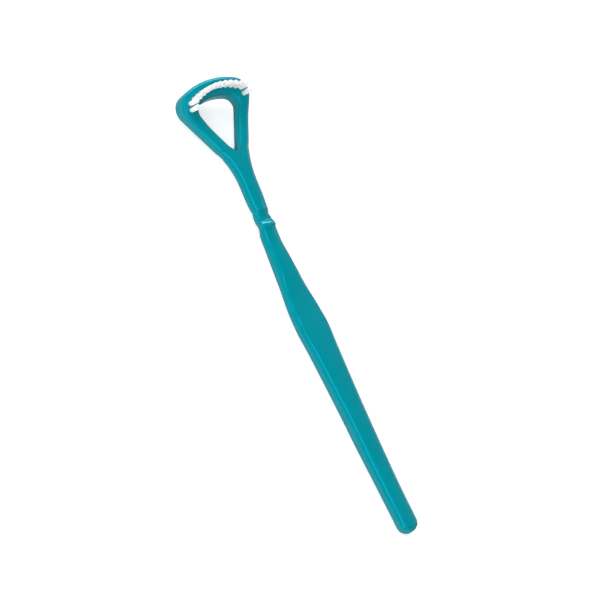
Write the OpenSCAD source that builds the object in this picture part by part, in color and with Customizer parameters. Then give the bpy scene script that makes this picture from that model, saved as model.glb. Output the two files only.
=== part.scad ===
// Tongue scraper with a delta head: one moulded handle and frame, a bow of bristle tufts across its front.
// The tail lies at -X and the head at +X. The bristles stand up towards +Z.
// The back of the grip lies on Z = 0.

/* [Overall] */
// Length of the scraper, from the tail to the front of the head
overall_len = 190; // [180:1:205]
// Length of the handle, from the tail to the flex waist
handle_len = 127; // [118:1:132]
// Length of the flex waist
waist_len = 11.5; // [9:0.5:14]

/* [Handle] */
// Width of the handle where it is widest
grip_w = 13.5; // [11:0.2:16]
// Thickness of the handle over most of its length
grip_t = 6.2; // [5.4:0.1:7.5]
// Width of the tail
tail_w = 8.1; // [7:0.1:10]
// Height by which the back of the tail lifts off the surface
tail_lift = 0.85; // [0.3:0.05:1.5]
// Depth of the thumb rest in the front of the handle
thumb_dip = 1.45; // [0.3:0.05:1.8]
// Radius of the long edges of the handle and neck
edge_r = 2.2; // [1.4:0.1:2.6]
// Width of the flat along the back of the grip, on which the scraper rests
rest_w = 6.6; // [5:0.1:8]
// Width of the rounding along each side of the back of the handle
back_edge = 1.4; // [0.8:0.1:2]
// Radius that rounds the tail as seen from the side
tail_nose_r = 2.1; // [1:0.1:2.4]
// Height of the crown across the front of the handle
crown = 0.25; // [0.05:0.05:0.5]

/* [Flex waist] */
// Width of the waist
waist_w = 6.4; // [5:0.1:7]
// Thickness of the waist at the bottom of its notch
waist_t = 4.2; // [3.6:0.1:4.8]
// Depth of the notch below the crest beside it
notch_depth = 1.1; // [0.3:0.05:1.3]
// Height of the back of the waist above the back of the grip
waist_lift = 1.4; // [1:0.05:2]

/* [Neck] */
// Width of the neck
neck_w = 7.3; // [6.4:0.1:8.4]
// Thickness of the neck and of the arms
neck_t = 5.15; // [4.6:0.05:6]
// Height of the back of the neck, where the waist ends, above the back of the grip
neck_lift = 2; // [1.5:0.05:3]
// Angle at which the neck rises towards the front
neck_rise = 4.8; // [3:0.1:6]
// Angle at which the arms and the back of the bow rise towards the front
arm_rise = 0.7; // [0:0.1:2]
// Radius of the flare from the neck into the arms
flare_r = 35; // [26:1:44]

/* [Head] */
// Width of the head at its corners
head_w = 32; // [30:0.5:34]
// Radius of the front of the head
front_r = 33.5; // [28:0.5:40]
// Radius of the outer corners of the head
corner_r = 6.4; // [5:0.1:7.5]
// Angle between the outer side of an arm and the handle
arm_angle = 26.6; // [25:0.2:28]
// Width of the bow that carries the bristles, at the middle of the head
bow_w = 6.9; // [6:0.1:7.6]
// Radius of the inner side of the bow
bow_inner_r = 22; // [18:0.5:27]
// Width of the window at its corners
window_w = 18.4; // [16.5:0.1:19.4]
// Radius of the front corners of the window
window_r = 3.5; // [2.4:0.1:4.4]
// Radius of the window where the arms meet
crotch_r = 1.05; // [0.8:0.05:1.5]
// Angle between the inner side of an arm and the handle
window_angle = 26.2; // [25:0.2:27.4]
// Radius of the edges of the arms and the bow
head_edge_r = 1.6; // [1:0.1:1.9]
// Height of the bristle platform above the line of the arms, at the end tufts
platform_lift = 1.6; // [0.6:0.05:2]
// Angle at which the bristle platform rises towards the front
platform_rise = 7.4; // [4:0.2:9]

/* [Bristles] */
// Number of tufts in the row on the bow
row_tufts = 12; // [8:1:12]
// Distance between neighbouring tufts of the row
tuft_pitch = 2.31; // [2.2:0.01:2.4]
// Radius of the line on which the row stands
row_r = 24; // [20:0.2:28]
// Distance from the front of the head to the middle of the row
row_inset = 3.65; // [3:0.05:4]
// Distance from each end tuft to the last tuft of the row
end_pitch = 2.45; // [2.2:0.01:2.6]
// Angle between the front and the line from the row to an end tuft
end_turn = 78; // [65:1:85]
// Diameter of a tuft
tuft_d = 1.9; // [1.6:0.05:2]
// Length of a tuft above the platform
tuft_len = 5.2; // [4:0.1:7]
// Depth of a tuft hole
hole_depth = 3.4; // [2.6:0.1:4]
// Clearance of a tuft and an anchor plate in the moulding
fit = 0.02; // [0.01:0.01:0.05]
// Thickness of one strand across its corners
strand_d = 0.21; // [0.16:0.01:0.24]

/* [Anchor plates] */
// Width of an anchor plate, which bites into the walls of its hole
anchor_w = 2.15; // [2.05:0.05:2.25]
// Height of an anchor plate
anchor_h = 1.5; // [1:0.1:1.8]
// Thickness of an anchor plate
anchor_t = 0.3; // [0.2:0.05:0.4]
// Height of an anchor plate above the bottom of its hole
anchor_lift = 0.5; // [0.3:0.05:0.7]

/* [Hidden] */
// Shape of the handle, one row a station from the tail to the waist: place as a share of the handle's
// length, width as a share of the way from the tail's width to the grip's, height of the back as a
// share of the tail's lift, depth of the front as a share of the thumb rest's depth
handle_shares = [
    [0.00, 0.00, 1.00, -0.48],
    [0.04, 0.00, 1.00, -0.45],
    [0.13, 0.03, 0.55, -0.15],
    [0.25, 0.14, 0.20, 0.00],
    [0.36, 0.21, 0.00, -0.08],
    [0.50, 0.47, 0.00, 0.01],
    [0.62, 0.76, 0.00, 0.10],
    [0.69, 1.00, 0.00, 0.34],
    [0.74, 0.95, 0.00, 0.79],
    [0.79, 0.69, 0.00, 0.98],
    [0.83, 0.40, 0.00, 0.79],
    [0.87, 0.17, 0.00, 0.42],
    [0.92, 0.01, 0.15, 0.44],
    [0.96, -0.10, 0.35, 0.62]
];
// Shape of the waist: place along the waist, height of the back and of the front as shares of the way from
// the notch's back to the neck's back, and from the notch's bottom to the crest beside it
waist_shares = [
    [0.00, -0.95, 0.20],
    [0.265, 0.50, 0.96],
    [0.32, 0.60, 0.80],
    [0.39, 0.60, 0.42],
    [0.46, 0.36, 0.00],
    [0.55, 0.00, 0.10],
    [0.66, 0.00, 0.50],
    [0.84, 1.05, 1.40]
];
// How far the ring of a section has gone along the window and along the outer edge, from the meeting of the
// arms to the middle of the bow, and the number of rings of each stretch
ring_shares = [[0, 0], [0.045, 0.016], [0.20, 0.075], [0.61, 0.375], [0.755, 0.65], [1, 1]];
ring_counts = [3, 4, 6, 8, 6];
handle_steps = 26;
waist_steps = 16;
neck_steps = 9;
nose_steps = 6;
// The flat nose that closes the rounded tail, as a share of the tail's width
nose_share = 0.01;
// How much the flat of the back narrows where the grip is wider, as a share of the half width beside it
pinch_share = 0.06;
// Lift of the back above which its edges are as round as those of the front, as a share of the tail's lift
lifted_share = 0.4;
// The largest edge radius, as a share of half the thickness or width that it rounds
round_share = 0.9;
// Stretch of the window's sides over which their edges come to full radius, as a share of the arms' width
crotch_share = 1.2;
// Length over which the arms rise to the platform, as a share of the bow's width
ramp_share = 1.3;
corner_steps = 4;
arc_steps = 16;
strand_sides = 4;
// The strands of a tuft fill the hexagonal cells of this squared distance or less
strand_reach = 7;
// How deep the strands are bound into the root of their tuft, as a share of the hole's depth
bond_share = 0.1;
// How far the root of a tuft lies below the platform, as a share of the hole's depth
root_share = 0.05;

teal = "#0093a1";
white = "#f5f3ee";
brass = "#c9ad6a";

// Plan geometry of the head, seen from above, on its left side
waist_x = handle_len;
neck_x = waist_x + waist_len;
front_centre = [overall_len - front_r, 0];
corner_centre = [
    front_centre.x + sqrt(pow(front_r - corner_r, 2) - pow(head_w / 2 - corner_r, 2)),
    head_w / 2 - corner_r
];
front_turn = atan2(corner_centre.y, corner_centre.x - front_centre.x);
arm_end = corner_centre + corner_r * [-sin(arm_angle), cos(arm_angle)];
flare_y = neck_w / 2 + flare_r;
flare_x = arm_end.x + (cos(arm_angle) * (flare_y - arm_end.y) - flare_r) / sin(arm_angle);
flare_end_x = flare_x + flare_r * sin(arm_angle);

bow_centre = [overall_len - bow_w - bow_inner_r, 0];
window_centre = [
    bow_centre.x + sqrt(pow(bow_inner_r - window_r, 2) - pow(window_w / 2 - window_r, 2)),
    window_w / 2 - window_r
];
bow_turn = atan2(window_centre.y, window_centre.x - bow_centre.x);
window_side_end = window_centre + window_r * [-sin(window_angle), cos(window_angle)];
crotch_centre = [
    window_side_end.x + (crotch_r - cos(window_angle) * window_side_end.y) / sin(window_angle),
    0
];
split_x = crotch_centre.x - crotch_r;

// Row of tufts
row_centre = [overall_len - row_inset - row_r, 0];
row_step = tuft_pitch / row_r * 180 / PI;
row_turn = row_step * (row_tufts - 1) / 2;
row_end = row_centre + row_r * [cos(row_turn), sin(row_turn)];
end_tuft = row_end + end_pitch * [-sin(end_turn), cos(end_turn)];

function tuft_name(i) = str("row_tuft_", i < 10 ? "0" : "", i);
function lerp(a, b, f) = a + (b - a) * f;
function ease(f) = let (g = min(max(f, 0), 1)) g * g * (3 - 2 * g);

// Smooth curve through the rows of a table, which never overshoots them
function rise(t, i, k) = (t[i + 1][k] - t[i][k]) / (t[i + 1][0] - t[i][0]);
function slope(t, i, k) =
    i == 0 || i == len(t) - 1 ? 0 :
    let (a = rise(t, i - 1, k), b = rise(t, i, k)) a * b <= 0 ? 0 : 2 * a * b / (a + b);
function row_at(t, x, i = 0) = i >= len(t) - 2 || x <= t[i + 1][0] ? i : row_at(t, x, i + 1);
function curve(t, x, k) =
    let (i = row_at(t, x), h = t[i + 1][0] - t[i][0], f = min(max((x - t[i][0]) / h, 0), 1))
    t[i][k] * (1 + 2 * f) * pow(1 - f, 2) + t[i + 1][k] * f * f * (3 - 2 * f)
    + h * slope(t, i, k) * f * pow(1 - f, 2) - h * slope(t, i + 1, k) * f * f * (1 - f);

// Heights of the back and the front of the neck and head
// The neck rises at its own angle up to the flare, and eases over the flare to the angle of the arms
flare_run = split_x - flare_x;
function head_back(x) =
    let (eased = min(max(x - flare_x, 0), flare_run), past = max(x - split_x, 0))
    neck_lift + (min(x, split_x) - neck_x) * tan(neck_rise)
    + (tan(arm_rise) - tan(neck_rise)) * eased * eased / (2 * flare_run) + past * tan(arm_rise);
function arm_top(x) = head_back(x) + neck_t;
function platform_z(x) = arm_top(end_tuft.x) + platform_lift + (x - end_tuft.x) * tan(platform_rise);
ramp_end_x = end_tuft.x - tuft_d;
function head_top(x) = lerp(arm_top(x), platform_z(x), ease(1 + (x - ramp_end_x) / (bow_w * ramp_share)));

// Stations from the tail to the neck: place, half width, height of the back, height of the front
notch_z = waist_lift + waist_t;
stations = concat(
    [for (s = handle_shares) [
        s[0] * handle_len,
        lerp(tail_w, grip_w, s[1]) / 2,
        s[2] * tail_lift,
        grip_t - s[3] * thumb_dip
    ]],
    [for (s = waist_shares) [
        waist_x + s[0] * waist_len,
        waist_w / 2 + (s[0] == 0 ? (neck_w - waist_w) / 2 : 0),
        lerp(waist_lift, neck_lift, s[1]),
        notch_z + s[2] * notch_depth
    ]],
    [for (f = [0, 0.5, 1]) let (x = lerp(neck_x, flare_x, f)) [
        x,
        lerp(waist_w, neck_w, min(0.5 + f, 1)) / 2,
        head_back(x),
        arm_top(x)
    ]]
);

function nose_inset(x, r) = x >= r ? 0 : r - sqrt(r * r - pow(r - x, 2));
function flare(x) =
    x < flare_end_x ? flare_y - sqrt(flare_r * flare_r - pow(x - flare_x, 2))
    : arm_end.y + (x - arm_end.x) * tan(arm_angle);
function half_w(x) = x > flare_x ? flare(x) : curve(stations, x, 1) - nose_inset(x, tail_w / 2);
function back_z(x) = x > neck_x ? head_back(x) : curve(stations, x, 2) + nose_inset(x, tail_nose_r);
function top_z(x) = x > neck_x ? head_top(x) : curve(stations, x, 3) - nose_inset(x, tail_nose_r);
function crown_at(x) = crown * (1 - ease((x - neck_x) / (split_x - neck_x)));

// Half of a section, from the middle of its front round the edge to the middle of its back, in plan places
// that run from mid to edge, with the edge rounded
function half_section(mid, edge, r, under, rise) =
    let (into = (mid - edge) / norm(mid - edge), flat = edge + into * r)
    concat(
        [[mid.x, mid.y, top_z(mid.x) + rise]],
        [let (p = (mid + flat) / 2) [p.x, p.y, top_z(p.x) + rise * 3 / 4]],
        [for (k = [corner_steps : -1 : 0])
            let (a = 90 * k / corner_steps, p = edge + into * r * (1 - cos(a)))
            [p.x, p.y, top_z(p.x) - r * (1 - sin(a))]],
        [for (k = [0 : corner_steps])
            let (a = 90 * k / corner_steps, p = edge + into * under * (1 - cos(a)))
            [p.x, p.y, back_z(p.x) + r * (1 - sin(a))]],
        [[mid.x, mid.y, back_z(mid.x)]]
    );
half_count = 2 * corner_steps + 5;
ring_count = 2 * half_count - 2;
line_count = half_count - 2;
function edge_radius(x, span, r) = min(r, round_share * (top_z(x) - back_z(x)) / 2, round_share * span);
function mirrored(p) = [p.x, -p.y, p.z];

// A full ring across the handle at x, sized as the part is at at_x
function handle_ring(x, at_x) =
    let (
        a = half_w(at_x),
        r = edge_radius(at_x, a, edge_r),
        lifted = ease(back_z(at_x) / (tail_lift * lifted_share)),
        under = max(lerp(min(r, back_edge), r, lifted), (a - rest_w / 2) * (1 + pinch_share)),
        left = half_section([at_x, 0], [at_x, a], r, under, crown_at(at_x)),
        moved = [for (p = left) [x, p.y, p.z]]
    )
    concat(moved, [for (j = [half_count - 2 : -1 : 1]) mirrored(moved[j])]);

nose = tail_w * nose_share;
handle_rings = concat(
    [handle_ring(0, nose)],
    [for (k = [1 : nose_steps]) let (x = tail_w / 2 * (1 - cos(90 * k / nose_steps))) handle_ring(x, x)],
    [for (k = [1 : handle_steps]) let (x = lerp(tail_w / 2, waist_x, k / handle_steps)) handle_ring(x, x)],
    [for (k = [1 : waist_steps]) let (x = lerp(waist_x, neck_x, k / waist_steps)) handle_ring(x, x)],
    [for (k = [1 : neck_steps]) let (x = lerp(neck_x, split_x, k / neck_steps)) handle_ring(x, x)]
);

// Outer edge and window edge in plan, from the meeting of the arms to the middle of the bow
function arc(c, r, from, to) =
    [for (k = [1 : arc_steps]) let (a = lerp(from, to, k / arc_steps)) c + r * [cos(a), sin(a)]];
outer_edge = concat(
    [for (k = [0 : arc_steps]) let (x = lerp(split_x, arm_end.x, k / arc_steps)) [x, flare(x)]],
    arc(corner_centre, corner_r, 90 + arm_angle, front_turn),
    arc(front_centre, front_r, front_turn, 0)
);
window_edge = concat(
    [[split_x, 0]],
    arc(crotch_centre, crotch_r, 180, 90 + window_angle),
    [window_side_end],
    arc(window_centre, window_r, 90 + window_angle, bow_turn),
    arc(bow_centre, bow_inner_r, bow_turn, 0)
);
function path_len(path, i = 0) =
    i >= len(path) - 1 ? 0 : norm(path[i + 1] - path[i]) + path_len(path, i + 1);
function along(path, s, i = 0) =
    let (step = norm(path[i + 1] - path[i]))
    s <= step || i >= len(path) - 2 ? lerp(path[i], path[i + 1], min(s / step, 1))
    : along(path, s - step, i + 1);
outer_len = path_len(outer_edge);
window_len = path_len(window_edge);

// Rings of the left arm and half of the bow: the window's share and the outer edge's share of each
ring_places = [
    for (n = [0 : len(ring_counts) - 1])
        for (k = [1 : ring_counts[n]])
            lerp(ring_shares[n], ring_shares[n + 1], k / ring_counts[n])
];
function frame_ring(place) =
    let (
        inner = along(window_edge, place[0] * window_len),
        outer = along(outer_edge, place[1] * outer_len),
        w = norm(outer - inner),
        open = ease(place[0] * window_len / (w * crotch_share)),
        mid = lerp(inner, outer, open / 2),
        mixed = lerp(edge_radius(mid.x, w / 2, edge_r), edge_radius(mid.x, w / 2, head_edge_r), open),
        inner_r = edge_radius(mid.x, norm(mid - inner), head_edge_r),
        outside = half_section(mid, outer, mixed, mixed, 0),
        inside = half_section(mid, inner, inner_r, inner_r, 0)
    )
    concat(outside, [for (j = [half_count - 2 : -1 : 1]) inside[j]]);
left_rings = [for (p = ring_places) frame_ring(p)];
right_rings = [for (i = [len(left_rings) - 2 : -1 : 0]) [for (p = left_rings[i]) mirrored(p)]];
loop_rings = concat(left_rings, right_rings);
// The edge where the arms meet, from back to front
crotch_line = [for (j = [1 : line_count])
    [split_x, 0, lerp(back_z(split_x), top_z(split_x), j / (line_count + 1))]];

skin_points = concat(
    [for (ring = handle_rings) for (p = ring) p],
    [for (ring = loop_rings) for (p = ring) p],
    crotch_line
);
last_ring = (len(handle_rings) - 1) * ring_count;
loop_start = len(handle_rings) * ring_count;
line_start = loop_start + len(loop_rings) * ring_count;
// Number of a point of the loop: its first ring and its last share their outer halves with the handle
function loop_point(k, j) =
    k == 0 ? (j < half_count ? last_ring + j : line_start + j - half_count) :
    k == len(loop_rings) + 1 ? (
        j >= half_count ? line_start + j - half_count : last_ring + (j == 0 ? 0 : ring_count - j)
    ) :
    loop_start + (k - 1) * ring_count + j;
function next_j(j) = (j + 1) % ring_count;
skin_faces = concat(
    [[for (j = [ring_count - 1 : -1 : 0]) j]],
    [for (i = [0 : len(handle_rings) - 2]) for (j = [0 : ring_count - 1])
        let (a = i * ring_count + j, b = i * ring_count + next_j(j)) each
        [[a, b, b + ring_count], [a, b + ring_count, a + ring_count]]],
    [for (k = [0 : len(loop_rings)]) for (j = [0 : ring_count - 1])
        let (
            a = loop_point(k, j),
            b = loop_point(k, next_j(j)),
            c = loop_point(k + 1, next_j(j)),
            d = loop_point(k + 1, j)
        ) each [[a, b, c], [a, c, d]]]
);

// Places what stands on the platform, with Z along the tufts and zero on the platform
module on_platform(p) {
    translate([p.x - overall_len / 2, p.y, platform_z(p.x)]) rotate([0, -platform_rise, 0]) children();
}

module at_each_tuft() {
    on_platform(end_tuft) children();
    on_platform([end_tuft.x, -end_tuft.y]) children();
    for (i = [1 : row_tufts]) on_platform(row_place(i)) children();
}

// Place of a tuft of the row, counted from the left
function row_place(i) =
    let (a = row_turn - (i - 1) * row_step) row_centre + row_r * [cos(a), sin(a)];

module plate(grow) {
    translate([0, 0, anchor_lift - hole_depth + anchor_h / 2])
        cube([anchor_t + 2 * grow, anchor_w + 2 * grow, anchor_h + 2 * grow], center = true);
}

module tuft_hole() {
    translate([0, 0, -hole_depth]) cylinder(h = 2 * hole_depth, d = tuft_d + 2 * fit, $fn = 48);
    plate(fit);
}

// The strands stand on a root that fills the hole round its anchor plate
module tuft() {
    root_top = -root_share * hole_depth;
    strand_pitch = (tuft_d - strand_d) / 2 / sqrt(strand_reach);
    difference() {
        translate([0, 0, -hole_depth]) cylinder(h = hole_depth + root_top, d = tuft_d, $fn = 48);
        plate(fit);
    }
    for (q = [-3 : 3]) for (r = [-3 : 3]) if (q * q + q * r + r * r <= strand_reach)
        translate([
            (q + r / 2) * strand_pitch,
            r * sin(60) * strand_pitch,
            root_top - bond_share * hole_depth
        ])
            cylinder(h = tuft_len - root_top + bond_share * hole_depth, d = strand_d, $fn = strand_sides);
}

module handle_frame() {
    color(teal) difference() {
        translate([-overall_len / 2, 0, 0]) polyhedron(skin_points, skin_faces, convexity = 6);
        at_each_tuft() tuft_hole();
    }
}

module anchor_plates() {
    color(brass) at_each_tuft() plate(0);
}

module left_end_tuft() {
    color(white) on_platform(end_tuft) tuft();
}

module right_end_tuft() {
    color(white) on_platform([end_tuft.x, -end_tuft.y]) tuft();
}

module row_tuft(i) {
    color(white) on_platform(row_place(i)) tuft();
}

handle_frame();
anchor_plates();
left_end_tuft();
right_end_tuft();
for (i = [1 : row_tufts]) row_tuft(i);
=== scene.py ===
import math

import bpy
import numpy as np
from mathutils import Matrix, Vector


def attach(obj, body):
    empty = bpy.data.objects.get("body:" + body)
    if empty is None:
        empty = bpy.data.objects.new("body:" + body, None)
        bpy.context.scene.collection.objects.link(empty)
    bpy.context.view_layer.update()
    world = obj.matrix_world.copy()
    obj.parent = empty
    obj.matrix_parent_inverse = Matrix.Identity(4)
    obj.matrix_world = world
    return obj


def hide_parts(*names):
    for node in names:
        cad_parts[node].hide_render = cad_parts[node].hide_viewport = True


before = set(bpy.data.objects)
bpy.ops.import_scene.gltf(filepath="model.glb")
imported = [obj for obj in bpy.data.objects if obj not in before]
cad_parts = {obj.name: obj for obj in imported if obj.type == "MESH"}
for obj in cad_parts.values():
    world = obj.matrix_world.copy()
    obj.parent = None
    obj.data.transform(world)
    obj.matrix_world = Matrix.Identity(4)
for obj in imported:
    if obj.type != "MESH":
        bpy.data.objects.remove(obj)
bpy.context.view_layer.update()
MM = 0.001

# sizes, in millimetres and degrees
OVERALL, HANDLE, WAIST = 190.0, 127.0, 11.5
GRIP_W, GRIP_T, TAIL_W, TAIL_LIFT, THUMB_DIP = 13.5, 6.2, 8.1, 0.85, 1.45
EDGE_R, REST_W, BACK_EDGE, NOSE_R, CROWN = 2.2, 6.6, 1.4, 2.1, 0.25
WAIST_W, WAIST_T, NOTCH, WAIST_LIFT = 6.4, 4.2, 1.1, 1.4
NECK_W, NECK_T, NECK_LIFT, NECK_RISE, ARM_RISE, FLARE_R = 7.3, 5.15, 2.0, 4.8, 0.7, 35.0
HEAD_W, FRONT_R, CORNER_R, ARM_ANGLE = 32.0, 33.5, 6.4, 26.6
BOW_W, BOW_INNER_R, WINDOW_W, WINDOW_R, CROTCH_R, WINDOW_ANGLE = 6.9, 22.0, 18.4, 3.5, 1.05, 26.2
HEAD_EDGE_R, PLATFORM_LIFT, PLATFORM_RISE = 1.6, 1.6, 7.4
ROW_TUFTS, TUFT_PITCH, ROW_R, ROW_INSET = 12, 2.31, 24.0, 3.65
END_PITCH, END_TURN, TUFT_D, TUFT_LEN, HOLE_DEPTH, FIT = 2.45, 78.0, 1.9, 5.2, 3.4, 0.02
ANCHOR_W, ANCHOR_H, ANCHOR_T, ANCHOR_LIFT = 2.15, 1.5, 0.3, 0.5

# Stations of the handle and the waist: place, width, height of the back, depth of the front, as shares
HANDLE_SHARES = [
    (0.00, 0.00, 1.00, -0.48), (0.04, 0.00, 1.00, -0.45), (0.13, 0.03, 0.55, -0.15), (0.25, 0.14, 0.20, 0.00),
    (0.36, 0.21, 0.00, -0.08), (0.50, 0.47, 0.00, 0.01), (0.62, 0.76, 0.00, 0.10), (0.69, 1.00, 0.00, 0.34),
    (0.74, 0.95, 0.00, 0.79), (0.79, 0.69, 0.00, 0.98), (0.83, 0.40, 0.00, 0.79), (0.87, 0.17, 0.00, 0.42),
    (0.92, 0.01, 0.15, 0.44), (0.96, -0.10, 0.35, 0.62),
]
WAIST_SHARES = [(0.000, -0.95, 0.20), (0.265, 0.50, 0.96), (0.320, 0.60, 0.80), (0.390, 0.60, 0.42),
                (0.460, 0.36, 0.00), (0.550, 0.00, 0.10), (0.660, 0.00, 0.50), (0.840, 1.05, 1.40)]
# How far a ring of the head has gone along the window and along the outer edge
RING_SHARES = [(0, 0), (0.045, 0.016), (0.20, 0.075), (0.61, 0.375), (0.755, 0.65), (1, 1)]
PINCH, LIFTED, ROUND, CROTCH_RUN, RAMP = 0.06, 0.4, 0.9, 1.2, 1.3
# Where the notch is, from the end of the handle, and the crisp edge that it leaves on the front
NOTCH_START, NOTCH_END, NOTCH_EDGE_R = 1.6, 7.0, 1.1
# The two mould halves meet in a step of three hundredths
SEAM_STEP, SEAM_HALF = 0.03, 0.03

# How finely the moulding is made: points round a section, rings along it
FLAT_STEPS, ROUND_STEPS, BACK_STEPS = 9, 9, 6
NOSE_RINGS, HANDLE_RINGS, WAIST_RINGS, NECK_RINGS, HEAD_RINGS = 26, 170, 60, 50, 150
# The rings of the head crowd towards the crotch
HEAD_CROWD = 1.25
FIRST_NOSE_ANGLE = 0.03
ARC_STEPS, LINE_STEPS = 160, 200
HOLE_SIDES = 40
SHARP_EDGE, SHARP_FILAMENT = 40, 75

rad = math.radians


def tan(degrees):
    return math.tan(rad(degrees))


# plan of the head
NECK_X = HANDLE + WAIST
front_c = np.array([OVERALL - FRONT_R, 0.0])
corner_c = np.array([front_c[0] + math.sqrt((FRONT_R - CORNER_R) ** 2 - (HEAD_W / 2 - CORNER_R) ** 2),
                     HEAD_W / 2 - CORNER_R])
front_turn = math.degrees(math.atan2(corner_c[1], corner_c[0] - front_c[0]))
arm_end = corner_c + CORNER_R * np.array([-math.sin(rad(ARM_ANGLE)), math.cos(rad(ARM_ANGLE))])
flare_y = NECK_W / 2 + FLARE_R
flare_x = arm_end[0] + (math.cos(rad(ARM_ANGLE)) * (flare_y - arm_end[1]) - FLARE_R) / math.sin(rad(ARM_ANGLE))
flare_end_x = flare_x + FLARE_R * math.sin(rad(ARM_ANGLE))
bow_c = np.array([OVERALL - BOW_W - BOW_INNER_R, 0.0])
window_c = np.array([bow_c[0] + math.sqrt((BOW_INNER_R - WINDOW_R) ** 2 - (WINDOW_W / 2 - WINDOW_R) ** 2),
                     WINDOW_W / 2 - WINDOW_R])
bow_turn = math.degrees(math.atan2(window_c[1], window_c[0] - bow_c[0]))
window_side = window_c + WINDOW_R * np.array([-math.sin(rad(WINDOW_ANGLE)), math.cos(rad(WINDOW_ANGLE))])
crotch_c = np.array([window_side[0] + (CROTCH_R - math.cos(rad(WINDOW_ANGLE)) * window_side[1])
                     / math.sin(rad(WINDOW_ANGLE)), 0.0])
split_x = crotch_c[0] - CROTCH_R
row_c = np.array([OVERALL - ROW_INSET - ROW_R, 0.0])
row_step = TUFT_PITCH / ROW_R
row_turn = row_step * (ROW_TUFTS - 1) / 2


def row_place(i):
    a = row_turn - (i - 1) * row_step
    return row_c + ROW_R * np.array([math.cos(a), math.sin(a)])


end_tuft = row_place(1) + END_PITCH * np.array([-math.sin(rad(END_TURN)), math.cos(rad(END_TURN))])


# heights
def lerp(a, b, f):
    return a + (b - a) * f


def ease(f):
    g = min(max(f, 0.0), 1.0)
    return g * g * (3 - 2 * g)


def slopes(t, k, flat_ends=True):
    """Slopes of a smooth curve through column k that never overshoots its rows."""
    rise = [(t[i + 1][k] - t[i][k]) / (t[i + 1][0] - t[i][0]) for i in range(len(t) - 1)]
    inner = [0 if a * b <= 0 else 2 * a * b / (a + b) for a, b in zip(rise, rise[1:])]
    return [0 if flat_ends else rise[0]] + inner + [0 if flat_ends else rise[-1]]


def curve(t, m, x, k):
    i = 0
    while i < len(t) - 2 and x > t[i + 1][0]:
        i += 1
    h = t[i + 1][0] - t[i][0]
    f = min(max((x - t[i][0]) / h, 0.0), 1.0)
    return (t[i][k] * (1 + 2 * f) * (1 - f) ** 2 + t[i + 1][k] * f * f * (3 - 2 * f)
            + h * m[i] * f * (1 - f) ** 2 - h * m[i + 1] * f * f * (1 - f))


def head_back(x):
    run = split_x - flare_x
    eased = min(max(x - flare_x, 0), run)
    return (NECK_LIFT + (min(x, split_x) - NECK_X) * tan(NECK_RISE)
            + (tan(ARM_RISE) - tan(NECK_RISE)) * eased * eased / (2 * run) + max(x - split_x, 0) * tan(ARM_RISE))


def platform_z(x):
    return head_back(end_tuft[0]) + NECK_T + PLATFORM_LIFT + (x - end_tuft[0]) * tan(PLATFORM_RISE)


def head_top(x):
    ramp_end = end_tuft[0] - TUFT_D
    return lerp(head_back(x) + NECK_T, platform_z(x), ease(1 + (x - ramp_end) / (BOW_W * RAMP)))


STATIONS = (
    [(s[0] * HANDLE, lerp(TAIL_W, GRIP_W, s[1]) / 2, s[2] * TAIL_LIFT, GRIP_T - s[3] * THUMB_DIP)
     for s in HANDLE_SHARES]
    + [(HANDLE + s[0] * WAIST, WAIST_W / 2 + ((NECK_W - WAIST_W) / 2 if s[0] == 0 else 0),
        lerp(WAIST_LIFT, NECK_LIFT, s[1]), WAIST_LIFT + WAIST_T + s[2] * NOTCH) for s in WAIST_SHARES]
    + [(lerp(NECK_X, flare_x, f), lerp(WAIST_W, NECK_W, min(0.5 + f, 1)) / 2, head_back(lerp(NECK_X, flare_x, f)),
        head_back(lerp(NECK_X, flare_x, f)) + NECK_T) for f in (0, 0.5, 1)]
)
SLOPES = [slopes(STATIONS, k) for k in range(4)]


def station(x, k):
    return curve(STATIONS, SLOPES[k], x, k)


def nose_inset(x, r):
    return 0.0 if x >= r else r - math.sqrt(r * r - (r - x) ** 2)


def flare(x):
    if x < flare_end_x:
        return flare_y - math.sqrt(FLARE_R ** 2 - (x - flare_x) ** 2)
    return arm_end[1] + (x - arm_end[0]) * tan(ARM_ANGLE)


def half_w(x):
    return flare(x) if x > flare_x else station(x, 1) - nose_inset(x, TAIL_W / 2)


def back_z(x):
    return head_back(x) if x > NECK_X else station(x, 2) + nose_inset(x, NOSE_R)


def top_z(x):
    return head_top(x) if x > NECK_X else station(x, 3) - nose_inset(x, NOSE_R)


# the moulding as one lofted skin
def edge_radius(x, span, r):
    return min(r, ROUND * (top_z(x) - back_z(x)) / 2, ROUND * span)


def half_section(mid, edge, into, front, r, under, rise):
    """Half of a section: from the middle of its front round the edge to the middle of its back."""
    pts = []
    flat = edge + into * front
    for k in range(FLAT_STEPS):
        s = k / FLAT_STEPS
        p = mid + (flat - mid) * s
        pts.append((p[0], p[1], top_z(p[0]) + rise * (1 - s * s)))
    for k in range(ROUND_STEPS, -1, -1):
        a = math.pi / 2 * k / ROUND_STEPS
        p = edge + into * front * (1 - math.cos(a))
        pts.append((p[0], p[1], top_z(p[0]) - front * (1 - math.sin(a))))
    high, low = top_z(edge[0]) - front, back_z(edge[0]) + r
    seam, half = (high + low) / 2, min(SEAM_HALF, (high - low) / 4)
    inner = edge + into * min(SEAM_STEP, under / 4)
    pts.append((edge[0], edge[1], seam + half))
    pts.append((inner[0], inner[1], seam - half))
    for k in range(ROUND_STEPS + 1):
        a = math.pi / 2 * k / ROUND_STEPS
        p = lerp(inner, edge + into * under, 1 - math.cos(a))
        pts.append((p[0], p[1], back_z(p[0]) + r * (1 - math.sin(a))))
    flat = edge + into * under
    for k in range(BACK_STEPS - 1, -1, -1):
        p = mid + (flat - mid) * (k / BACK_STEPS)
        pts.append((p[0], p[1], back_z(p[0])))
    return pts


# Points in half a section, in a whole ring, and in the line where the arms' two rings part
HALF = FLAT_STEPS + 2 * (ROUND_STEPS + 1) + 2 + BACK_STEPS
RING = 2 * HALF - 2
LINE = HALF - 2


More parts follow.
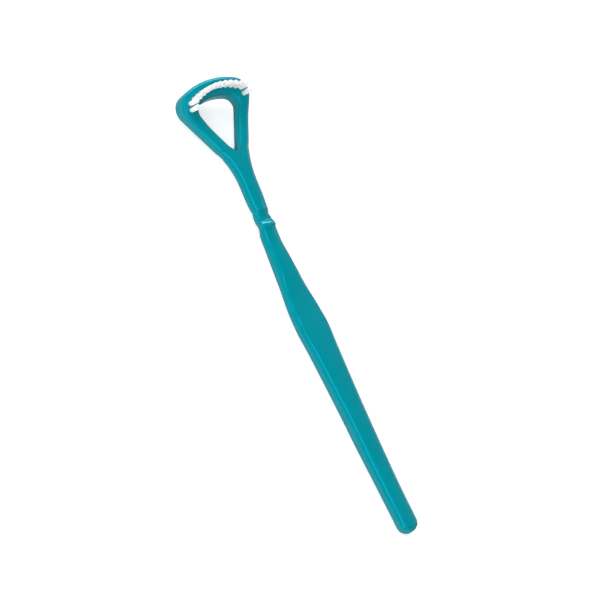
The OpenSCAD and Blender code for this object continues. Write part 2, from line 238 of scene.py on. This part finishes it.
def mirrored(p):
    return (p[0], -p[1], p[2])


def handle_ring(x):
    """A ring across the handle, the waist or the neck."""
    a = half_w(x)
    r = edge_radius(x, a, EDGE_R)
    lifted = ease(back_z(x) / (TAIL_LIFT * LIFTED))
    under = max(lerp(min(r, BACK_EDGE), r, lifted), (a - REST_W / 2) * (1 + PINCH))
    rise = CROWN * (1 - ease((x - NECK_X) / (split_x - NECK_X)))
    lean, nudge = 0.0, 0.01
    if x > NECK_X:          # round the flare the rounding follows the edge's own normal
        lean = (half_w(x + nudge) - half_w(x - nudge)) / (2 * nudge) * ease((x - NECK_X) / (flare_x - NECK_X))
    into = np.array([lean, -1.0]) / math.hypot(lean, 1)
    # The notch is cut across the waist, so its edges are crisper than the rest
    cut = ease(x - HANDLE - NOTCH_START) * ease(HANDLE + NOTCH_END - x)
    front = lerp(r, min(r, NOTCH_EDGE_R), cut)
    left = half_section(np.array([x, 0.0]), np.array([x, a]), into, front, r, under, rise)
    return left + [mirrored(left[j]) for j in range(HALF - 2, 0, -1)]


def arc(c, r, start, end):
    a = np.radians(np.linspace(start, end, ARC_STEPS + 1)[1:])
    return np.column_stack((c[0] + r * np.cos(a), c[1] + r * np.sin(a)))


def path_with_normals(points, turn):
    """A path as length, place and normal, for looking up at any share of its length."""
    p = np.asarray(points)
    s = np.concatenate(([0], np.cumsum(np.linalg.norm(np.diff(p, axis=0), axis=1))))
    keep = np.concatenate(([True], np.diff(s) > 1e-9))
    p, s = p[keep], s[keep]
    t = np.gradient(p, s, axis=0)
    t /= np.linalg.norm(t, axis=1)[:, None]
    n = np.column_stack((-t[:, 1], t[:, 0])) * turn
    return s, p, n


def along(path, share):
    s, p, n = path
    at = share * s[-1]
    q = np.array([np.interp(at, s, p[:, 0]), np.interp(at, s, p[:, 1])])
    m = np.array([np.interp(at, s, n[:, 0]), np.interp(at, s, n[:, 1])])
    return q, m / np.linalg.norm(m)


outer = path_with_normals(np.vstack((
    [[x, flare(x)] for x in np.linspace(split_x, arm_end[0], LINE_STEPS)],
    arc(corner_c, CORNER_R, 90 + ARM_ANGLE, front_turn), arc(front_c, FRONT_R, front_turn, 0))), -1)
window = path_with_normals(np.vstack((
    [[split_x, 0.0]], arc(crotch_c, CROTCH_R, 180, 90 + WINDOW_ANGLE),
    np.linspace(crotch_c + CROTCH_R * np.array([-math.sin(rad(WINDOW_ANGLE)), math.cos(rad(WINDOW_ANGLE))]),
                window_side, LINE_STEPS)[1:],
    arc(window_c, WINDOW_R, 90 + WINDOW_ANGLE, bow_turn), arc(bow_c, BOW_INNER_R, bow_turn, 0))), 1)
ring_slopes = slopes(RING_SHARES, 1, flat_ends=False)


def frame_ring(share):
    """A ring round the left arm or the left half of the bow, so far along the window."""
    inner, inner_n = along(window, share)
    edge, edge_n = along(outer, curve(RING_SHARES, ring_slopes, share, 1))
    w = np.linalg.norm(edge - inner)
    opened = ease(share * window[0][-1] / (w * CROTCH_RUN))
    mid = lerp(inner, edge, opened / 2)
    mixed = lerp(edge_radius(mid[0], w / 2, EDGE_R), edge_radius(mid[0], w / 2, HEAD_EDGE_R), opened)
    r = edge_radius(mid[0], np.linalg.norm(mid - inner), HEAD_EDGE_R)
    outside = half_section(mid, edge, edge_n, mixed, mixed, mixed, 0)
    inside = half_section(mid, inner, inner_n, r, r, r, 0)
    return outside + [inside[j] for j in range(HALF - 2, 0, -1)]


def moulding_mesh():
    """Rings up to the crotch, where each opens into the two rings of a loop round the window."""
    places = [TAIL_W / 2 * (1 - math.cos(a)) for a in np.linspace(FIRST_NOSE_ANGLE, math.pi / 2, NOSE_RINGS)]
    places += list(np.linspace(TAIL_W / 2, HANDLE, HANDLE_RINGS)[1:])
    places += list(np.linspace(HANDLE, NECK_X, WAIST_RINGS)[1:])
    places += list(np.linspace(NECK_X, split_x, NECK_RINGS)[1:])
    rings = [handle_ring(x) for x in places]
    left = [frame_ring(float(s)) for s in np.linspace(0, 1, HEAD_RINGS)[1:] ** HEAD_CROWD]
    right = [[mirrored(p) for p in ring] for ring in left[-2::-1]]
    loop = left + right
    low, high = back_z(split_x), top_z(split_x)
    line = [(split_x, 0.0, lerp(low, high, j / (LINE + 1))) for j in range(1, LINE + 1)]
    pts = [p for ring in rings for p in ring] + [p for ring in loop for p in ring] + line
    last, loop_start = (len(rings) - 1) * RING, len(rings) * RING
    line_start = loop_start + len(loop) * RING

    def loop_point(k, j):
        if k == 0:
            return last + j if j < HALF else line_start + j - HALF
        if k == len(loop) + 1:
            return line_start + j - HALF if j >= HALF else last + (0 if j == 0 else RING - j)
        return loop_start + (k - 1) * RING + j

    tip = rings[0]
    pts.append(tuple(np.mean(tip, axis=0)))
    centre = len(pts) - 1
    faces = [(centre, (j + 1) % RING, j) for j in range(RING)]
    for i in range(len(rings) - 1):
        for j in range(RING):
            a, b = i * RING + j, i * RING + (j + 1) % RING
            faces.append((a, b, b + RING, a + RING))
    for k in range(len(loop) + 1):
        for j in range(RING):
            n = (j + 1) % RING
            faces.append((loop_point(k, j), loop_point(k, n), loop_point(k + 1, n), loop_point(k + 1, j)))
    pts = np.array(pts)
    pts[:, 0] -= OVERALL / 2
    mesh = bpy.data.meshes.new("moulded frame")
    mesh.from_pydata((pts * MM).tolist(), [], faces)
    return mesh


def place_on_platform(p):
    """Where a tuft stands: Z along the tuft, zero on the platform."""
    return (Matrix.Translation(Vector((p[0] - OVERALL / 2, p[1], platform_z(p[0]))) * MM)
            @ Matrix.Rotation(rad(-PLATFORM_RISE), 4, "Y"))


TUFTS = {"left_end_tuft": end_tuft, "right_end_tuft": end_tuft * np.array([1, -1])}
TUFTS.update({f"row_tuft_{i:02d}": row_place(i) for i in range(1, ROW_TUFTS + 1)})


# materials
def linear(text):
    """An sRGB hex colour as linear values."""
    c = [int(text[i:i + 2], 16) / 255 for i in (1, 3, 5)]
    return [v / 12.92 if v <= 0.04045 else ((v + 0.055) / 1.055) ** 2.4 for v in c] + [1.0]


def add(tree, kind, settings=None, values=None, links=None):
    """Adds a node, sets its properties and its inputs, and links its inputs."""
    node = tree.nodes.new(kind)
    for name, value in (settings or {}).items():
        setattr(node, name, value)
    for name, value in (values or {}).items():
        node.inputs[name].default_value = value
    for name, source in (links or {}).items():
        tree.links.new(source, node.inputs[name])
    return node


def new_material(name):
    material = bpy.data.materials.new(name)
    material.use_nodes = True
    material.node_tree.nodes.clear()
    return material, material.node_tree


def moulded_polypropylene():
    # Polypropylene from a fine-blasted mould: an even waxy gloss whose lights keep the plastic's own teal,
    # with flow marks too faint to see from afar
    material, tree = new_material("injection moulded polypropylene, teal")
    place = add(tree, "ShaderNodeTexCoord")
    flow = add(tree, "ShaderNodeTexNoise", values={"Scale": 1 / (9 * MM), "Detail": 2.0, "Roughness": 0.5},
               links={"Vector": place.outputs["Object"]})
    gloss = add(tree, "ShaderNodeMapRange", values={"From Min": 0.3, "From Max": 0.7, "To Min": 0.15, "To Max": 0.19},
                links={"Value": flow.outputs["Fac"]})
    grain = add(tree, "ShaderNodeTexNoise", values={"Scale": 1 / (0.35 * MM), "Detail": 1.0},
                links={"Vector": place.outputs["Object"]})
    bump = add(tree, "ShaderNodeBump", values={"Strength": 0.25, "Distance": 0.002 * MM},
               links={"Height": grain.outputs["Fac"]})
    # The grain's own little shadows take the shine off where the surface turns away
    turned = add(tree, "ShaderNodeLayerWeight", values={"Blend": 0.5})
    shine = add(tree, "ShaderNodeMapRange", {"interpolation_type": "SMOOTHSTEP"},
                {"From Min": 0.34, "From Max": 0.64, "To Min": 0.42, "To Max": 0.01},
                {"Value": turned.outputs["Facing"]})
    shader = add(tree, "ShaderNodeBsdfPrincipled",
                 values={"Base Color": linear("#007883"), "IOR": 1.49, "Specular Tint": linear("#2fd8ff"),
                         "Subsurface Weight": 0.06, "Subsurface Radius": (0.3, 1.0, 1.0),
                         "Subsurface Scale": 0.8 * MM},
                 links={"Roughness": gloss.outputs["Result"], "Normal": bump.outputs["Normal"],
                        "Specular IOR Level": shine.outputs["Result"]})
    add(tree, "ShaderNodeOutputMaterial", links={"Surface": shader.outputs["BSDF"]})
    return material


def nylon_filament():
    # Nylon monofilament: white, smooth drawn threads that let a little light through
    material, tree = new_material("drawn nylon monofilament, white")
    place = add(tree, "ShaderNodeTexCoord")
    tone = add(tree, "ShaderNodeTexNoise", values={"Scale": 1 / (0.5 * MM), "Detail": 1.0},
               links={"Vector": place.outputs["Object"]})
    gloss = add(tree, "ShaderNodeMapRange", values={"To Min": 0.3, "To Max": 0.42},
                links={"Value": tone.outputs["Fac"]})
    shader = add(tree, "ShaderNodeBsdfPrincipled",
                 values={"Base Color": linear("#fffefb"), "IOR": 1.53, "Subsurface Weight": 0.9,
                         "Subsurface Radius": (1.0, 1.0, 1.0), "Subsurface Scale": 0.3 * MM},
                 links={"Roughness": gloss.outputs["Result"]})
    add(tree, "ShaderNodeOutputMaterial", links={"Surface": shader.outputs["BSDF"]})
    return material


def sheared_brass():
    # Brass strip sheared to little plates: yellow metal, a little scratched along the strip
    material, tree = new_material("sheared brass strip")
    place = add(tree, "ShaderNodeTexCoord")
    stretch = add(tree, "ShaderNodeMapping", values={"Scale": (1, 1, 12)}, links={"Vector": place.outputs["Object"]})
    lines = add(tree, "ShaderNodeTexNoise", values={"Scale": 1 / (0.6 * MM), "Detail": 2.0},
                links={"Vector": stretch.outputs["Vector"]})
    gloss = add(tree, "ShaderNodeMapRange", values={"To Min": 0.22, "To Max": 0.4},
                links={"Value": lines.outputs["Fac"]})
    shader = add(tree, "ShaderNodeBsdfPrincipled", values={"Base Color": linear("#d9b86a"), "Metallic": 1.0},
                 links={"Roughness": gloss.outputs["Result"]})
    add(tree, "ShaderNodeOutputMaterial", links={"Surface": shader.outputs["BSDF"]})
    return material


CARD_GLOW = 0.5         # how far the card's own shading gives way to plain white in the picture


def pale_floor():
    # Matt white card: an even white ground, lightened in the picture so that only the object's soft shadow stays
    material, tree = new_material("matt white card")
    place = add(tree, "ShaderNodeTexCoord")
    fibre = add(tree, "ShaderNodeTexNoise", values={"Scale": 1 / (2 * MM)}, links={"Vector": place.outputs["Object"]})
    gloss = add(tree, "ShaderNodeMapRange", values={"To Min": 0.8, "To Max": 0.9},
                links={"Value": fibre.outputs["Fac"]})
    shader = add(tree, "ShaderNodeBsdfPrincipled",
                 values={"Base Color": linear("#fdfdfd"), "Specular IOR Level": 0.1},
                 links={"Roughness": gloss.outputs["Result"]})
    glow = add(tree, "ShaderNodeEmission", values={"Color": (1, 1, 1, 1), "Strength": 1.2})
    rays = add(tree, "ShaderNodeLightPath")
    seen = add(tree, "ShaderNodeMath", {"operation": "MAXIMUM"},
               links={0: rays.outputs["Is Camera Ray"], 1: rays.outputs["Is Glossy Ray"]})
    shown = add(tree, "ShaderNodeMath", {"operation": "MAXIMUM"},
                links={0: seen.outputs[0], 1: rays.outputs["Is Transmission Ray"]})
    share = add(tree, "ShaderNodeMath", {"operation": "MULTIPLY"}, {1: CARD_GLOW}, {0: shown.outputs[0]})
    both = add(tree, "ShaderNodeMixShader",
               links={0: share.outputs[0], 1: shader.outputs["BSDF"], 2: glow.outputs[0]})
    add(tree, "ShaderNodeOutputMaterial", links={"Surface": both.outputs[0]})
    return material


POLYPROPYLENE, NYLON, BRASS, CARD = moulded_polypropylene(), nylon_filament(), sheared_brass(), pale_floor()


# the moulding
def linked(mesh, name):
    obj = bpy.data.objects.new(name, mesh)
    bpy.context.scene.collection.objects.link(obj)
    return obj


def cylinder_and_plate_cutters():
    """What is cut from the moulding at each tuft: its round hole, and the slot that its plate bites into the walls."""
    holes, slots = [[], []], [[], []]
    for p in TUFTS.values():
        m = place_on_platform(p)
        r, depth = (TUFT_D / 2 + FIT) * MM, HOLE_DEPTH * MM
        n, start = HOLE_SIDES, len(holes[0])
        for z in (-depth, depth):
            holes[0] += [m @ Vector((r * math.cos(2 * math.pi * k / n), r * math.sin(2 * math.pi * k / n), z))
                         for k in range(n)]
        holes[1] += [tuple(start + k for k in range(n - 1, -1, -1)), tuple(start + n + k for k in range(n))]
        holes[1] += [(start + k, start + (k + 1) % n, start + n + (k + 1) % n, start + n + k) for k in range(n)]
        h = Vector((ANCHOR_T / 2 + FIT, ANCHOR_W / 2 + FIT, ANCHOR_H / 2 + FIT)) * MM
        c = Vector((0, 0, (ANCHOR_LIFT - HOLE_DEPTH + ANCHOR_H / 2) * MM))
        start = len(slots[0])
        slots[0] += [m @ (c + Vector((h.x * x, h.y * y, h.z * z))) for z in (-1, 1) for y in (-1, 1) for x in (-1, 1)]
        slots[1] += [tuple(start + k for k in f) for f in
                     ((0, 2, 3, 1), (4, 5, 7, 6), (0, 1, 5, 4), (2, 6, 7, 3), (0, 4, 6, 2), (1, 3, 7, 5))]
    made = []
    for name, (points, faces) in (("tuft holes", holes), ("plate slots", slots)):
        mesh = bpy.data.meshes.new(name)
        mesh.from_pydata([tuple(v) for v in points], [], faces)
        made.append(linked(mesh, name))
    return made


def to_plain_mesh(obj, name):
    """The evaluated object as a new plain mesh, with the maker object and its modifiers gone."""
    graph = bpy.context.evaluated_depsgraph_get()
    graph.update()
    mesh = bpy.data.meshes.new_from_object(obj.evaluated_get(graph))
    mesh.name = name
    old = obj.data
    bpy.data.objects.remove(obj)
    bpy.data.meshes.remove(old)
    return mesh


def make_moulding():
    rough = linked(moulding_mesh(), "moulding blank")
    cutters = cylinder_and_plate_cutters()
    for cutter in cutters:
        cut = rough.modifiers.new(cutter.name, "BOOLEAN")
        cut.operation, cut.solver, cut.object = "DIFFERENCE", "EXACT", cutter
    mesh = to_plain_mesh(rough, "moulded_frame")
    for cutter in cutters:
        bpy.data.objects.remove(cutter)
    mesh.shade_smooth()
    mesh.set_sharp_from_angle(angle=rad(SHARP_EDGE))
    mesh.materials.clear()
    mesh.materials.append(POLYPROPYLENE)
    obj = linked(mesh, "moulded_frame")
    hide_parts("handle_frame")
    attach(obj, "root")


# the tufts
GOLDEN_ANGLE = 2.399963
FIRST_SEED, SEED_STEP = 11, 7


def tuft_tree():
    """A tuft: filaments packed in a spiral, spreading a little towards trimmed and rounded ends."""
    tree = bpy.data.node_groups.new("tuft of filaments", "GeometryNodeTree")
    tree.interface.new_socket("Geometry", in_out="OUTPUT", socket_type="NodeSocketGeometry")
    for name, kind in (("Filaments", "NodeSocketInt"), ("Seed", "NodeSocketInt"), ("Root radius", "NodeSocketFloat"),
                       ("Tip radius", "NodeSocketFloat"), ("Filament radius", "NodeSocketFloat"),
                       ("Length", "NodeSocketFloat"), ("Root depth", "NodeSocketFloat"), ("Dome", "NodeSocketFloat"),
                       ("Wander", "NodeSocketFloat"), ("Material", "NodeSocketMaterial")):
        tree.interface.new_socket(name, in_out="INPUT", socket_type=kind)
    size = add(tree, "NodeGroupInput").outputs
    index = add(tree, "GeometryNodeInputIndex").outputs[0]
    # The roots fill the round hole evenly, each a golden angle on from the last
    middle = add(tree, "ShaderNodeMath", {"operation": "ADD"}, {1: 0.5}, {0: index}).outputs[0]
    area = add(tree, "ShaderNodeMath", {"operation": "DIVIDE"}, links={0: middle, 1: size["Filaments"]}).outputs[0]
    share = add(tree, "ShaderNodeMath", {"operation": "SQRT"}, links={0: area}).outputs[0]
    reach = add(tree, "ShaderNodeMath", {"operation": "MULTIPLY"}, links={0: share, 1: size["Root radius"]}).outputs[0]
    below = add(tree, "ShaderNodeMath", {"operation": "MULTIPLY"}, {1: -1.0}, {0: size["Root depth"]}).outputs[0]
    radial = add(tree, "ShaderNodeCombineXYZ", links={"X": reach, "Z": below}).outputs[0]
    angle = add(tree, "ShaderNodeMath", {"operation": "MULTIPLY"}, {1: GOLDEN_ANGLE}, {0: index}).outputs[0]
    spot = add(tree, "ShaderNodeVectorRotate", {"rotation_type": "Z_AXIS"}, links={"Vector": radial, "Angle": angle})
    points = add(tree, "GeometryNodePoints", links={"Count": size["Filaments"], "Position": spot.outputs[0]})
    # One filament, with its rings crowded towards the rounded end
    straight = add(tree, "GeometryNodeCurvePrimitiveLine")
    rings = add(tree, "GeometryNodeResampleCurve", values={"Count": 6}, links={"Curve": straight.outputs[0]})
    far = add(tree, "GeometryNodeSplineParameter").outputs["Factor"]
    left_over = add(tree, "ShaderNodeMath", {"operation": "SUBTRACT"}, {0: 1.0}, {1: far}).outputs[0]
    shrunk = add(tree, "ShaderNodeMath", {"operation": "POWER"}, {1: 3.0}, {0: left_over}).outputs[0]
    near_end = add(tree, "ShaderNodeMath", {"operation": "SUBTRACT"}, {0: 1.0}, {1: shrunk}).outputs[0]
    whole = add(tree, "ShaderNodeMath", {"operation": "ADD"},
                links={0: size["Length"], 1: size["Root depth"]}).outputs[0]
    rise = add(tree, "ShaderNodeMath", {"operation": "MULTIPLY"}, links={0: near_end, 1: whole}).outputs[0]
    height = add(tree, "ShaderNodeCombineXYZ", links={"Z": rise})
    stood = add(tree, "GeometryNodeSetPosition", links={"Geometry": rings.outputs[0], "Position": height.outputs[0]})
    thin = add(tree, "ShaderNodeMapRange", values={"From Min": 0.79, "From Max": 1.0, "To Min": 1.0, "To Max": 0.45},
               links={"Value": far})
    rounded = add(tree, "GeometryNodeSetCurveRadius", links={"Curve": stood.outputs[0], "Radius": thin.outputs[0]})
    outline = add(tree, "GeometryNodeCurvePrimitiveCircle", values={"Resolution": 6},
                  links={"Radius": size["Filament radius"]})
    thread = add(tree, "GeometryNodeCurveToMesh", values={"Fill Caps": True},
                 links={"Curve": rounded.outputs[0], "Profile Curve": outline.outputs[0]})
    # Each filament leans outwards in proportion to its place, and a little at random
    wider = add(tree, "ShaderNodeMath", {"operation": "DIVIDE"},
                links={0: size["Tip radius"], 1: size["Root radius"]}).outputs[0]
    growth = add(tree, "ShaderNodeMath", {"operation": "SUBTRACT"}, {1: 1.0}, {0: wider}).outputs[0]
    spread = add(tree, "ShaderNodeMath", {"operation": "DIVIDE"}, links={0: growth, 1: whole}).outputs[0]
    sideways = add(tree, "ShaderNodeCombineXYZ", links={"X": spread, "Y": spread})
    chance = add(tree, "FunctionNodeRandomValue", {"data_type": "FLOAT_VECTOR"}, {0: (-1, -1, 0), 1: (1, 1, 0)},
                 {"Seed": size["Seed"]})
    drift = add(tree, "ShaderNodeVectorMath", {"operation": "SCALE"},
                links={0: chance.outputs[0], "Scale": size["Wander"]})
    place = add(tree, "GeometryNodeInputPosition")
    lean = add(tree, "ShaderNodeVectorMath", {"operation": "MULTIPLY_ADD"},
               links={0: place.outputs[0], 1: sideways.outputs[0], 2: drift.outputs[0]})
    aim = add(tree, "ShaderNodeVectorMath", {"operation": "ADD"}, {1: (0, 0, 1)}, {0: lean.outputs[0]})
    turned = add(tree, "FunctionNodeAlignRotationToVector", {"axis": "Z"}, links={"Vector": aim.outputs[0]})
    # The tuft is trimmed a little shorter round its rim, and never quite evenly
    trim = add(tree, "FunctionNodeRandomValue", {"data_type": "FLOAT"}, {2: 0.985, 3: 1.0}, {"Seed": size["Seed"]})
    rim = add(tree, "ShaderNodeMath", {"operation": "POWER"}, {1: 3.0}, {0: share}).outputs[0]
    dome = add(tree, "ShaderNodeMath", {"operation": "MULTIPLY"}, links={0: rim, 1: size["Dome"]}).outputs[0]
    domed = add(tree, "ShaderNodeMath", {"operation": "SUBTRACT"}, links={0: trim.outputs[1], 1: dome}).outputs[0]
    scale = add(tree, "ShaderNodeCombineXYZ", values={"X": 1.0, "Y": 1.0}, links={"Z": domed})
    spread_out = add(tree, "GeometryNodeInstanceOnPoints",
                     links={"Points": points.outputs[0], "Instance": thread.outputs[0],
                            "Rotation": turned.outputs[0], "Scale": scale.outputs[0]})
    real = add(tree, "GeometryNodeRealizeInstances", links={"Geometry": spread_out.outputs[0]})
    painted = add(tree, "GeometryNodeSetMaterial", links={"Geometry": real.outputs[0], "Material": size["Material"]})
    add(tree, "NodeGroupOutput", links={"Geometry": painted.outputs[0]})
    return tree


def make_tuft(tree, name, p, seed):
    maker = linked(bpy.data.meshes.new("tuft blank"), "tuft blank")
    grow = maker.modifiers.new("filaments", "NODES")
    grow.node_group = tree
    sizes = {"Filaments": 72, "Seed": seed, "Root radius": 0.865 * MM, "Tip radius": 1.0 * MM,
             "Filament radius": 0.103 * MM, "Length": (TUFT_LEN - 0.02) * MM, "Root depth": 1.3 * MM, "Dome": 0.05,
             "Wander": 0.008, "Material": NYLON}
    for item in tree.interface.items_tree:
        if item.in_out == "INPUT":
            grow[item.identifier] = sizes[item.name]
    mesh = to_plain_mesh(maker, name + "_filaments")
    mesh.transform(place_on_platform(p))
    mesh.shade_smooth()
    mesh.set_sharp_from_angle(angle=rad(SHARP_FILAMENT))
    obj = linked(mesh, name + "_filaments")
    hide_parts(name)
    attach(obj, "root")


make_moulding()
tree = tuft_tree()
for number, (name, p) in enumerate(TUFTS.items()):
    make_tuft(tree, name, p, FIRST_SEED + SEED_STEP * number)

# The anchor plates keep their CAD shape, under the filaments in their holes
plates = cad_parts["anchor_plates"]
for holder in plates.material_slots:
    holder.link = "OBJECT"
    holder.material = BRASS


# floor, light and camera
CARD_HALF, CARD_DROP = 1.0, 0.02 * MM
# Each lamp: the way to it from the scraper, its length and width in metres, and its watts
LAMP_DISTANCE = 1.2
LAMPS = {
    "over": ((-0.10, 0.58, 0.81), 0.8, 0.8, 8.0),
    "head strip": ((0.79, -0.40, 0.44), 1.25, 0.26, 13.0),
    "front high": ((0.50, 0.24, 0.81), 0.55, 0.55, 4.0),
    "left front": ((0.5, 0.80, 0.35), 0.45, 0.45, 3.0),
    "left tail": ((-0.5, 0.80, 0.35), 0.45, 0.45, 4.0),
    "tail": ((-0.82, 0.25, 0.45), 0.45, 0.45, 4.0),
    "right": ((0.0, -0.97, 0.25), 0.45, 0.45, 1.5),
}
# The photograph's line of sight: turned about the scraper's length, tipped towards its tail, and rolled
VIEW_TURN, VIEW_TIP, VIEW_ROLL = rad(35.0), rad(9.0), math.atan2(0.4274, 0.9041)
# What it looks at, in millimetres, and how wide it sees and how far off it stands, in metres
VIEW_AIM, VIEW_WIDTH, VIEW_DISTANCE = (1.92, 4.28, 4.0), 0.228, 5.0


def make_floor():
    mesh = bpy.data.meshes.new("card")
    mesh.from_pydata([(x * CARD_HALF, y * CARD_HALF, -CARD_DROP) for x, y in ((-1, -1), (1, -1), (1, 1), (-1, 1))],
                     [], [(0, 1, 2, 3)])
    mesh.materials.append(CARD)
    linked(mesh, "card")


def soft_box(name, direction, length, width, watts):
    """A soft light that shines on the scraper from a direction."""
    data = bpy.data.lights.new(name, "AREA")
    data.shape, data.size, data.size_y, data.energy = "ELLIPSE", length, width, watts
    lamp = bpy.data.objects.new(name, data)
    bpy.context.scene.collection.objects.link(lamp)
    d = Vector(direction).normalized()
    lamp.location = d * LAMP_DISTANCE
    lamp.rotation_mode = "QUATERNION"
    lamp.rotation_quaternion = d.to_track_quat("Z", "Y")


def make_world():
    world = bpy.data.worlds.new("studio")
    bpy.context.scene.world = world
    world.use_nodes = True
    tree = world.node_tree
    tree.nodes.clear()
    rays = add(tree, "ShaderNodeLightPath")
    seen = add(tree, "ShaderNodeMath", {"operation": "MAXIMUM"},
               links={0: rays.outputs["Is Camera Ray"], 1: rays.outputs["Is Glossy Ray"]})
    shown = add(tree, "ShaderNodeMath", {"operation": "MAXIMUM"},
                links={0: seen.outputs[0], 1: rays.outputs["Is Transmission Ray"]})
    fill = add(tree, "ShaderNodeBackground", values={"Color": linear("#f4f7fb"), "Strength": 0.08})
    white = add(tree, "ShaderNodeBackground", values={"Color": (1, 1, 1, 1), "Strength": 1.0})
    both = add(tree, "ShaderNodeMixShader", links={0: shown.outputs[0], 1: fill.outputs[0], 2: white.outputs[0]})
    add(tree, "ShaderNodeOutputWorld", links={"Surface": both.outputs[0]})


def make_camera():
    """The camera looks along the photograph's line of sight, from far off."""
    across = Vector((0, -math.cos(VIEW_TURN), math.sin(VIEW_TURN)))
    up = Vector((math.cos(VIEW_TIP), math.sin(VIEW_TIP) * math.sin(VIEW_TURN),
                 math.sin(VIEW_TIP) * math.cos(VIEW_TURN)))
    towards = across.cross(up)
    right = across * math.cos(VIEW_ROLL) - up * math.sin(VIEW_ROLL)
    top = across * math.sin(VIEW_ROLL) + up * math.cos(VIEW_ROLL)
    aim = (across * VIEW_AIM[0] + up * VIEW_AIM[1] + towards * VIEW_AIM[2]) * MM
    place = aim + towards * VIEW_DISTANCE
    data = bpy.data.cameras.new("camera")
    data.sensor_width = 36.0
    data.lens = data.sensor_width * VIEW_DISTANCE / VIEW_WIDTH
    data.clip_start, data.clip_end = 0.1, 50.0
    camera = bpy.data.objects.new("camera", data)
    bpy.context.scene.collection.objects.link(camera)
    camera.matrix_world = Matrix((
        (right.x, top.x, towards.x, place.x), (right.y, top.y, towards.y, place.y),
        (right.z, top.z, towards.z, place.z), (0, 0, 0, 1)))
    bpy.context.scene.camera = camera


make_floor()
make_world()
make_camera()
for name, (direction, length, width, watts) in LAMPS.items():
    soft_box(name, direction, length, width, watts)
bpy.context.scene.view_settings.view_transform = "Standard"
